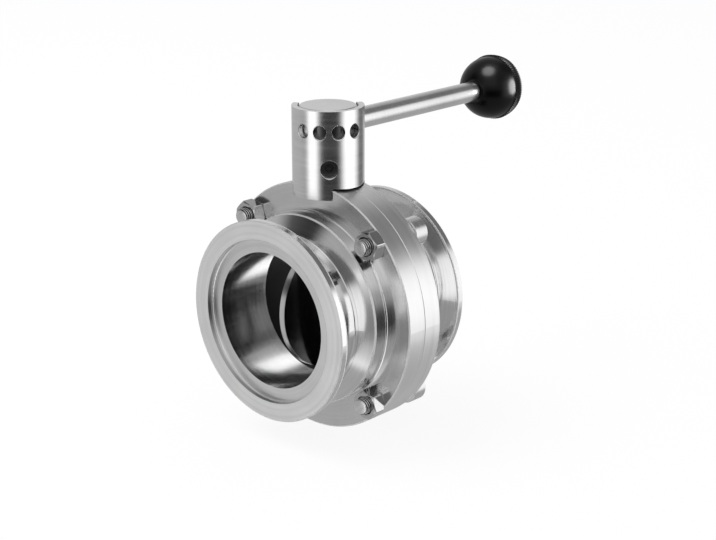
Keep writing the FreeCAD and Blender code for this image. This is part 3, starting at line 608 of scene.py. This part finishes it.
over_corners = 2 * hexagon_radius(10, math.pi / 6)
print("a hexagon of 10 mm across flats measures", round(over_corners, 2), "mm over its corners")

# %% [markdown]
# ## Growing a shape with Geometry Nodes
#
# Some details follow a rule and would take thousands of faces by hand: the thread on a bolt,
# or the flutes round the knob. A Geometry Nodes tree can make those, and its named inputs
# are the sizes that the rule needs. The plain part of the same piece comes in as the
# object's own mesh, and the tree welds the two where they touch.

# %% Trees that make a shape
WELD = 2e-6


class ShapeTree(Graph):
    """A Geometry Nodes tree with named inputs."""

    def __init__(self, name, **inputs):
        tree = bpy.data.node_groups.new(name, "GeometryNodeTree")
        for way in ("INPUT", "OUTPUT"):
            tree.interface.new_socket(name="Geometry", in_out=way, socket_type="NodeSocketGeometry")
        self.amounts = {}
        for label, amount in inputs.items():
            socket = tree.interface.new_socket(name=label, in_out="INPUT",
                                               socket_type="NodeSocketFloat")
            self.amounts[socket.identifier] = amount
        super().__init__(tree)
        self.start = self.add("NodeGroupInput")

    def given(self, label):
        """One of the tree's inputs."""
        return self.start.out(label)

    def joined(self, *parts):
        """Several geometries as one, with touching seams closed."""
        join = self.add("GeometryNodeJoinGeometry")
        for part in parts:
            self.feed(join.link.node.inputs[0], part)
        return self.add("GeometryNodeMergeByDistance", values={"Geometry": join, "Distance": WELD})

    def close(self, geometry, material):
        """End the tree: everything real, and with its finish."""
        real = self.add("GeometryNodeRealizeInstances", values={"Geometry": geometry})
        done = self.add("GeometryNodeSetMaterial", values={"Geometry": real, "Material": material})
        self.add("NodeGroupOutput", values={"Geometry": done})


print("a shape tree can also use:", [name for name in vars(ShapeTree) if not name.startswith("_")])

# %% [markdown]
# For both rules the tree bends a flat grid into shape. One side of the grid runs round the
# axis and the other along it, and the distance from the axis is a sum like any other.

# %% A grid bent round an axis
def ring_place(tree, radius, along, angle):
    """A place at this distance and angle from the Y axis."""
    return tree.add("ShaderNodeCombineXYZ", values={
        "X": radius * angle.math("COSINE"), "Y": along, "Z": radius * angle.math("SINE")})


def bent_grid(tree, columns, rows, bend):
    """A grid carried round the Y axis.

    Bend gets the angle and the share of the way along, and gives the distance from the axis
    and the place along it.
    """
    grid = tree.add("GeometryNodeMeshGrid", values={
        "Size X": 1.0, "Size Y": 1.0, "Vertices X": columns + 1, "Vertices Y": rows + 1})
    flat_place = tree.add("GeometryNodeInputPosition")
    parts = tree.add("ShaderNodeSeparateXYZ", values={"Vector": flat_place})
    angle = (parts.out("X") + 0.5) * (2 * math.pi)
    radius, along = bend(angle, parts.out("Y") + 0.5)
    return tree.add("GeometryNodeSetPosition", values={
        "Geometry": grid, "Position": ring_place(tree, radius, along, angle)})


print("recipe ready:", bent_grid.__doc__.splitlines()[0])

# %% [markdown]
# A tree is run by a modifier on an object that holds the plain mesh. Its result is kept as a
# mesh of its own, the modifier goes, and the piece is then placed on its body.

# %% Keep what a tree makes
def outwards(mesh):
    """Point every face of a closed mesh outwards."""
    work = bmesh.new()
    work.from_mesh(mesh)
    bmesh.ops.recalc_face_normals(work, faces=work.faces)
    work.to_mesh(mesh)
    work.free()


def grow(name, base, tree, body, replaced, sharp):
    """Run a tree on a mesh, keep the result as a plain mesh, and put it on its body."""
    item = bpy.data.objects.new(name, base)
    bpy.context.scene.collection.objects.link(item)
    modifier = item.modifiers.new("shape", "NODES")
    modifier.node_group = tree.tree
    for identifier, amount in tree.amounts.items():
        modifier[identifier] = amount
    settled = item.evaluated_get(bpy.context.evaluated_depsgraph_get())
    mesh = bpy.data.meshes.new_from_object(settled)
    item.modifiers.clear()
    item.data = mesh
    outwards(mesh)
    mesh.shade_smooth()
    mesh.set_sharp_from_angle(angle=math.radians(sharp))
    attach(item, body)
    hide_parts(*replaced)
    print(name, "faces:", len(mesh.polygons), "size:", [round(side, 4) for side in item.dimensions])


# %% [markdown]
# ## Four bolts and four nuts
#
# The flanges are held by four bolts, each with its nut. One bolt and one nut are made on the
# Y axis, and the tree then repeats each of them at the four holes. The holes lie halfway
# between the upright and the level, and every copy is turned by its own angle, so that it
# faces outwards in the same way.

# %% Round the pipe
BOLTS = 4
BOLT_CIRCLE = math.sqrt(2) * BOLT_PLACE


def round_the_pipe(tree, item):
    """The same item at each of the bolt holes, turned to face outwards."""
    spots = tree.add("GeometryNodeMeshCircle", values={"Vertices": BOLTS})
    turn = tree.add("GeometryNodeInputIndex") * (2 * math.pi / BOLTS) + math.pi / BOLTS
    placed = tree.add("GeometryNodeSetPosition", values={
        "Geometry": spots, "Position": ring_place(tree, tree.given("Circle"), 0.0, turn)})
    spin = tree.add("ShaderNodeCombineXYZ", values={"Y": 0 - turn})
    return tree.add("GeometryNodeInstanceOnPoints", values={
        "Points": placed, "Instance": item, "Rotation": spin})


print("radius of the bolt circle:", round(BOLT_CIRCLE, 5))

# %% [markdown]
# ## The head of a bolt
#
# The head is a plain cylinder with a broken edge and a hexagon socket for the key, and below
# it comes the smooth part of the shank. All of that is one turned mesh. The socket ends in
# the shallow cone that the drill leaves.

# %% Head of a bolt
BOLT_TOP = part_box("body_bolt_1")[1].y
HEAD_RADIUS = (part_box("body_bolt_1")[1].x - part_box("body_bolt_1")[0].x) / 2
HEAD_FACE = HALF_LENGTH + FLANGE_FACE
HEAD_BREAK = 0.6 * MM
KEY_FLATS = 5.0 * MM
KEY_DEPTH = 3.0 * MM
KEY_CONE = 0.8 * MM
THREAD_LENGTH = 11.0 * MM
THREAD_START = BOLT_END + THREAD_LENGTH
BOLT_COLUMNS = 72


def bolt_head():
    """The head and the plain shank, up to the start of the thread."""
    # Wider than the hexagon's corners, so that the hexagon alone gives the socket its shape
    past_corners = 1.2 * KEY_FLATS / 2
    return turned_mesh("bolt_head", [
        (BOLT_RADIUS, THREAD_START, None),
        (BOLT_RADIUS, HEAD_FACE, None),
        (HEAD_RADIUS, HEAD_FACE, None),
        (HEAD_RADIUS, BOLT_TOP - HEAD_BREAK, None),
        (HEAD_RADIUS - HEAD_BREAK, BOLT_TOP, None),
        (past_corners, BOLT_TOP, KEY_FLATS),
        (past_corners, BOLT_TOP - KEY_DEPTH, KEY_FLATS),
        (0, BOLT_TOP - KEY_DEPTH - KEY_CONE, None),
    ], BOLT_COLUMNS)


print("a bolt's head is", round((BOLT_TOP - HEAD_FACE) / MM, 2), "mm high")

# %% [markdown]
# ## The thread of a bolt
#
# A bolt's thread is rolled: the steel flows into one spiral groove. On a grid that is a sum:
# the groove's depth depends on how far along the bolt a point lies, less the share of a turn
# that it lies round it. The crest and root are flat, and the flanks slope between them. The
# grid runs a little past the end of the bolt, and those last rows close its end face.

# %% Four bolts
THREAD_PITCH = 1.0 * MM
THREAD_DEPTH = 0.42 * MM
END_BREAK = 0.3 * MM
THREAD_ROWS = 150
# The flat of the crest, and that of the root, as a share of the pitch
THREAD_FLAT = 0.2
# How far the grid runs past the bolt's end, as a share of the thread's length
RUN_ON = 0.012
# Shares of the grid's length: where the thread is full, and where the end face closes
FADE_IN = 0.08
CLOSE_FROM = 0.985
CLOSED = 0.995


def body_bolts():
    """Threaded bolts at the four holes, as one piece."""
    tree = ShapeTree("bolt_thread", Circle=BOLT_CIRCLE, Radius=BOLT_RADIUS,
                     Pitch=THREAD_PITCH, Depth=THREAD_DEPTH, Break=END_BREAK)
    run = (1 + RUN_ON) * (THREAD_START - BOLT_END)

    def thread(angle, share):
        along = (THREAD_START - share * run).math("MAXIMUM", BOLT_END)
        turns = (THREAD_START - along) / tree.given("Pitch") - angle / (2 * math.pi)
        flank = 2 * (turns.math("FRACT") - 0.5).math("ABSOLUTE")
        cut = tree.rise(flank, THREAD_FLAT, 1 - THREAD_FLAT, "LINEAR")
        groove = cut * tree.rise(share, 0.0, FADE_IN)
        crest = tree.given("Radius") - tree.given("Depth") * groove
        end_bevel = along - BOLT_END + tree.given("Radius") - tree.given("Break")
        end_face = 1 - tree.rise(share, CLOSE_FROM, CLOSED)
        return crest.math("MINIMUM", end_bevel) * end_face, along

    bolt = tree.joined(tree.given("Geometry"), bent_grid(tree, BOLT_COLUMNS, THREAD_ROWS, thread))
    tree.close(round_the_pipe(tree, bolt), finishes["bolt_steel"])
    grow("body_bolts", bolt_head(), tree, "valve_body",
         [f"body_bolt_{number}" for number in range(1, BOLTS + 1)], sharp=35)


body_bolts()

# %% [markdown]
# ## Body nuts
#
# A nut is cut from hexagon bar and bevelled at both ends by a cone, which leaves an arc on
# each flat. Its corners are slightly round, so that they catch a line of light, and its
# thread has a small countersink. One turned mesh has all of that, and the tree repeats it.

# %% Four nuts
NUT_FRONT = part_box("body_nut_1")[0].y
NUT_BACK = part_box("body_nut_1")[1].y
NUT_FLATS = 10.0 * MM
NUT_CORNER = 5.66 * MM
NUT_FACE = 4.75 * MM
NUT_BORE = 3.03 * MM
NUT_SINK = 0.6 * MM
NUT_COLUMNS = 180
BEVEL_SLOPE = math.tan(math.radians(30))
BEVEL_STEPS = 14


def nut_profile():
    """Both bevels and the bore of a nut, from its front face round to that face again."""
    bevel = []
    for step in range(BEVEL_STEPS + 1):
        radius = NUT_FACE + (NUT_CORNER - NUT_FACE) * step / BEVEL_STEPS
        bevel.append((radius, (radius - NUT_FACE) * BEVEL_SLOPE))
    front = [(radius, NUT_FRONT + drop, NUT_FLATS) for radius, drop in bevel]
    back = [(radius, NUT_BACK - drop, NUT_FLATS) for radius, drop in reversed(bevel)]
    mouth = NUT_BORE + NUT_SINK
    bore = [
        (mouth, NUT_BACK, None),
        (NUT_BORE, NUT_BACK - NUT_SINK, None),
        (NUT_BORE, NUT_FRONT + NUT_SINK, None),
        (mouth, NUT_FRONT, None),
    ]
    return front + back + bore + front[:1]


def body_nuts():
    """Bevelled nuts at the four holes, as one piece."""
    nut = turned_mesh("nut", nut_profile(), NUT_COLUMNS)
    tree = ShapeTree("four_nuts", Circle=BOLT_CIRCLE)
    tree.close(round_the_pipe(tree, tree.given("Geometry")), finishes["nut_steel"])
    grow("body_nuts", nut, tree, "valve_body",
         [f"body_nut_{number}" for number in range(1, BOLTS + 1)], sharp=25)


body_nuts()

# %% [markdown]
# ## The knob
#
# The ball is smooth where the palm rests. Just past its middle runs a raised band of fine
# flutes for the fingers. On the side of the rod the ball has a small flat, with the socket
# for the metal insert, and that is a plain turned mesh.

# %% Flat and socket of the knob
KNOB_RADIUS = 12.5 * MM
INSERT_GAP = 0.03 * MM
# Keeps the dressed knob inside the frame's box
HAIR = 0.002 * MM
knob_low, knob_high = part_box("ball_knob")
KNOB_CENTRE = Vector((0, knob_high.y - KNOB_RADIUS - HAIR, ROD_HEIGHT))
KNOB_FLAT = knob_low.y - KNOB_CENTRE.y


def knob_socket(columns):
    """The flat where the rod enters, and the hole for the insert."""
    insert_low, insert_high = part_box("knob_insert")
    hole = (insert_high.x - insert_low.x) / 2 + INSERT_GAP
    bottom = insert_high.y + INSERT_GAP - KNOB_CENTRE.y
    return turned_mesh("knob_socket", [
        (0, bottom, None),
        (hole, bottom, None),
        (hole, KNOB_FLAT, None),
        (math.sqrt(KNOB_RADIUS ** 2 - KNOB_FLAT ** 2), KNOB_FLAT, None),
    ], columns)


print("the knob's flat lies", round(-KNOB_FLAT / MM, 2), "mm before its centre")

# %% [markdown]
# The skin of the ball is a grid again. Going along it, a point tilts from the flat to the
# far pole. The band is a window in the distance along the rod, and the flutes are a wave in
# the angle round it, so both fit in one sum for the distance from the centre.

# %% Ball knob with its fluted band
BAND_RADIUS = 13.1 * MM
BAND_START = 0.4 * MM
BAND_END = 5.6 * MM
BAND_SOFTNESS = 0.08 * MM
FLUTES = 84
FLUTE_DEPTH = 0.55 * MM
FLUTE_SHARPNESS = 1.5
KNOB_COLUMNS = 6 * FLUTES
KNOB_ROWS = 150


def ball_knob():
    """The ball with its raised band of flutes, flat and socket."""
    flat_angle = math.acos(KNOB_FLAT / KNOB_RADIUS)
    tree = ShapeTree("knob_flutes", Radius=KNOB_RADIUS, Rise=BAND_RADIUS - KNOB_RADIUS,
                     Band_Start=BAND_START, Band_End=BAND_END, Count=FLUTES, Depth=FLUTE_DEPTH)

    def skin(angle, share):
        tilt = flat_angle * (1 - share)
        along = tree.given("Radius") * tilt.math("COSINE")
        band_start = tree.given("Band_Start")
        band_end = tree.given("Band_End")
        started = tree.rise(along, band_start, band_start + BAND_SOFTNESS)
        stopped = tree.rise(along, band_end - BAND_SOFTNESS, band_end)
        wave = 0.5 + 0.5 * (angle * tree.given("Count")).math("COSINE")
        band = tree.given("Rise") - tree.given("Depth") * wave ** FLUTE_SHARPNESS
        reach = tree.given("Radius") + (started - stopped) * band
        return reach * tilt.math("SINE"), reach * tilt.math("COSINE")

    ball = tree.joined(tree.given("Geometry"), bent_grid(tree, KNOB_COLUMNS, KNOB_ROWS, skin))
    placed = tree.add("GeometryNodeTransform", values={
        "Geometry": ball, "Translation": KNOB_CENTRE})
    tree.close(placed, finishes["knob_plastic"])
    grow("ball_knob_fluted", knob_socket(KNOB_COLUMNS), tree, "handle",
         ["ball_knob"], sharp=40)


ball_knob()

# %% [markdown]
# ## The studio
#
# Polished steel has no look of its own: it shows the room. A product photographer stands long
# white panels round such a part and leaves dark gaps between them, and the part then shows
# soft bright bands with dark edges. Here the panels are painted on the world, by the
# direction that a mirror ray leaves in, so nothing else has to stand in the scene. Angles
# are in degrees: 0 is in front of the valve, 90 to its right, and heights are from level.

# %% Panels
# Middle, half width, bottom, top, softness of the sides, and light added
PANELS = {
    "front": (-7, 17, -45, 14, 9, 1.0),
    "right": (119, 29, -24, 25, 13, 1.05),
    "left": (-95, 45, -75, 40, 12, 0.06),
    "back": (-145, 30, -30, 28, 10, 0.2),
    "high in front": (36, 28, 14, 54, 10, 0.45),
    "dark gap in front": (50, 32, -27, -1, 12, -0.42),
    "dark card on the left": (-44, 18, 8, 42, 8, -0.4),
    "dark gap behind": (162, 28, -25, 60, 10, -0.26),
}
# The bottom and top of a panel are sharper than its sides
END_SOFTNESS = 0.4


def panel(graph, turn, height, place, level):
    """The light that a panel adds: its level inside, and nothing soon beyond its edges."""
    azimuth, half, low, high, soft = [math.radians(angle) for angle in place]
    side = (turn - azimuth).math("WRAP", math.pi, -math.pi).math("ABSOLUTE")
    within = 1 - graph.rise(side, half - soft, half + soft)
    end = END_SOFTNESS * soft
    above = graph.rise(height, low - end, low + end)
    below = 1 - graph.rise(height, high - end, high + end)
    return level * within * above * below


print("panels and gaps:", list(PANELS))

# %% [markdown]
# Mirror rays see the panels over the light of the room, which grows towards the zenith. Rays
# that go straight to the camera see plain white, and rays that light dull surfaces see an
# even pale grey.

# %% Studio
ROOM_LIGHT = 0.44
ROOF_LIGHT = 0.5
# Radians above level where the roof's light starts, and where it is full
ROOF_START = 1.1
ROOF_FULL = 1.4
DULL_LIGHT = 0.75


def studio():
    """White for the camera, panels for mirror rays, and even light for the rest."""
    world = bpy.data.worlds.new("studio")
    world.use_nodes = True
    world.node_tree.nodes.clear()
    graph = Graph(world.node_tree)
    direction = graph.add("ShaderNodeTexCoord").out("Generated")
    parts = graph.add("ShaderNodeSeparateXYZ", values={"Vector": direction})
    turn = parts.out("X").math("ARCTAN2", 0 - parts.out("Y"))
    height = parts.out("Z").math("ARCSINE")
    light = ROOM_LIGHT + ROOF_LIGHT * graph.rise(height, ROOF_START, ROOF_FULL)
    for *place, level in PANELS.values():
        light = light + panel(graph, turn, height, place, level)
    rays = graph.add("ShaderNodeLightPath")
    glossy = rays.out("Is Glossy Ray")
    straight = rays.out("Is Camera Ray").math("MAXIMUM", rays.out("Is Transmission Ray"))
    seen = straight + glossy * light + (1 - straight) * (1 - glossy) * DULL_LIGHT
    colour = graph.add("ShaderNodeCombineColor", values={0: seen, 1: seen, 2: seen})
    background = graph.add("ShaderNodeBackground", values={"Color": colour})
    graph.add("ShaderNodeOutputWorld", values={"Surface": background})
    bpy.context.scene.world = world
    print("world nodes:", len(world.node_tree.nodes))


studio()

# %% [markdown]
# ## Floor
#
# The floor is pale paper that catches a soft shadow. For the camera most of its colour is
# plain white light, so that it meets the background without a line. Mirror rays pass through
# it, so that the steel shows the panels and not a second white floor, and from below it is
# clear.

# %% Floor
FLOOR_HEIGHT = cad_box[0][2]
FLOOR_REACH = 4.0
FLOOR_GLOW = 0.9
PAPER_SHADE = 0.9


def grey(level):
    """An opaque grey of this level."""
    return (level, level, level, 1)


def floor_paper():
    """Pale paper that glows for the camera, and is clear from below."""
    material = bpy.data.materials.new("studio_floor")
    material.use_nodes = True
    material.node_tree.nodes.clear()
    graph = Graph(material.node_tree)
    paper = graph.add("ShaderNodeBsdfDiffuse", values={"Color": grey(PAPER_SHADE)})
    glow = graph.add("ShaderNodeEmission", values={"Color": grey(1.0), "Strength": 1.0})
    camera_ray = graph.add("ShaderNodeLightPath").out("Is Camera Ray")
    lit = graph.add("ShaderNodeMixShader", values={0: FLOOR_GLOW * camera_ray, 1: paper, 2: glow})
    clear = graph.add("ShaderNodeBsdfTransparent")
    back = graph.add("ShaderNodeNewGeometry").out("Backfacing")
    shown = graph.add("ShaderNodeMixShader", values={0: back, 1: lit, 2: clear})
    graph.add("ShaderNodeOutputMaterial", values={"Surface": shown})
    return material


def floor():
    """A wide square under the valve."""
    mesh = bpy.data.meshes.new("studio_floor")
    signs = [(-1, -1), (1, -1), (1, 1), (-1, 1)]
    corners = [(FLOOR_REACH * x, FLOOR_REACH * y, FLOOR_HEIGHT) for x, y in signs]
    mesh.from_pydata(corners, [], [range(4)])
    mesh.materials.append(floor_paper())
    item = bpy.data.objects.new("studio_floor", mesh)
    bpy.context.scene.collection.objects.link(item)
    item.visible_glossy = False


floor()
print("floor at", round(FLOOR_HEIGHT, 5))

# %% [markdown]
# ## Lamps
#
# One wide lamp overhead gives the shadow its direction. It is hidden from mirror rays, so
# that the steel shows only the panels.

# %% Overhead lamp
OVERHEAD_PLACE = (-0.6, -0.5, 1.4)
OVERHEAD_SIZE = 1.2
OVERHEAD_ENERGY = 14.0


def lamp(name, place, target, size, energy):
    """A round soft lamp that looks at a place."""
    light = bpy.data.lights.new(name, "AREA")
    light.shape = "DISK"
    light.size = size
    light.energy = energy
    item = bpy.data.objects.new(name, light)
    item.location = place
    item.rotation_euler = (target - item.location).to_track_quat("-Z", "Y").to_euler()
    bpy.context.scene.collection.objects.link(item)
    return item


overhead = lamp("overhead_lamp", OVERHEAD_PLACE, STEM, OVERHEAD_SIZE, OVERHEAD_ENERGY)
overhead.visible_glossy = False
print("overhead lamp at", OVERHEAD_PLACE)

# %% [markdown]
# The black knob mirrors two more lamps, one over it and one beside it, as soft highlights.
# On the steel they would burn out, so they are kept off it: a photographer would put a flag
# of black card in the way, and here each lamp is told which piece receives its light.

# %% Lamps for the knob
# Azimuth, height, size and energy
KNOB_LAMPS = {
    "lamp_over_knob": (13, 72, 0.55, 8.0),
    "lamp_beside_knob": (129, 2, 0.55, 16.0),
}
LAMP_DISTANCE = 0.8


def sky_direction(azimuth, height):
    """The direction at an azimuth and a height above level, both in degrees."""
    turn = math.radians(azimuth)
    rise = math.radians(height)
    return Vector((math.cos(rise) * math.sin(turn), -math.cos(rise) * math.cos(turn), math.sin(rise)))


knob_only = bpy.data.collections.new("knob_only")
knob_only.objects.link(bpy.data.objects["ball_knob_fluted"])
for name, (azimuth, height, size, energy) in KNOB_LAMPS.items():
    place = KNOB_CENTRE + LAMP_DISTANCE * sky_direction(azimuth, height)
    lamp(name, place, KNOB_CENTRE, size, energy).light_linking.receiver_collection = knob_only
print("lamps for the knob:", list(KNOB_LAMPS))

# %% [markdown]
# ## Camera
#
# The camera stands where the photographer's did. Every circle of the valve shows as an
# ellipse, and its place, width and tilt tell where the eye was, so the camera was fitted to
# those until the drawn circles lay on the photographed ones. The colours are shown as they
# are written, with the plainest view transform.

# %% Camera
EYE = (0.37792, -0.36630, 0.18954)
TILT = 72.10
TURN = 42.26
LENS = 77.9
SENSOR_WIDTH = 36.0


def camera():
    """A camera at the photographer's place."""
    lens = bpy.data.cameras.new("camera")
    lens.lens = LENS
    lens.sensor_width = SENSOR_WIDTH
    lens.clip_start = 0.01
    item = bpy.data.objects.new("camera", lens)
    item.location = EYE
    item.rotation_euler = (math.radians(TILT), 0, math.radians(TURN))
    bpy.context.scene.collection.objects.link(item)
    bpy.context.scene.camera = item


camera()
bpy.context.scene.view_settings.view_transform = "Standard"
print("camera at", EYE, "lens", LENS)
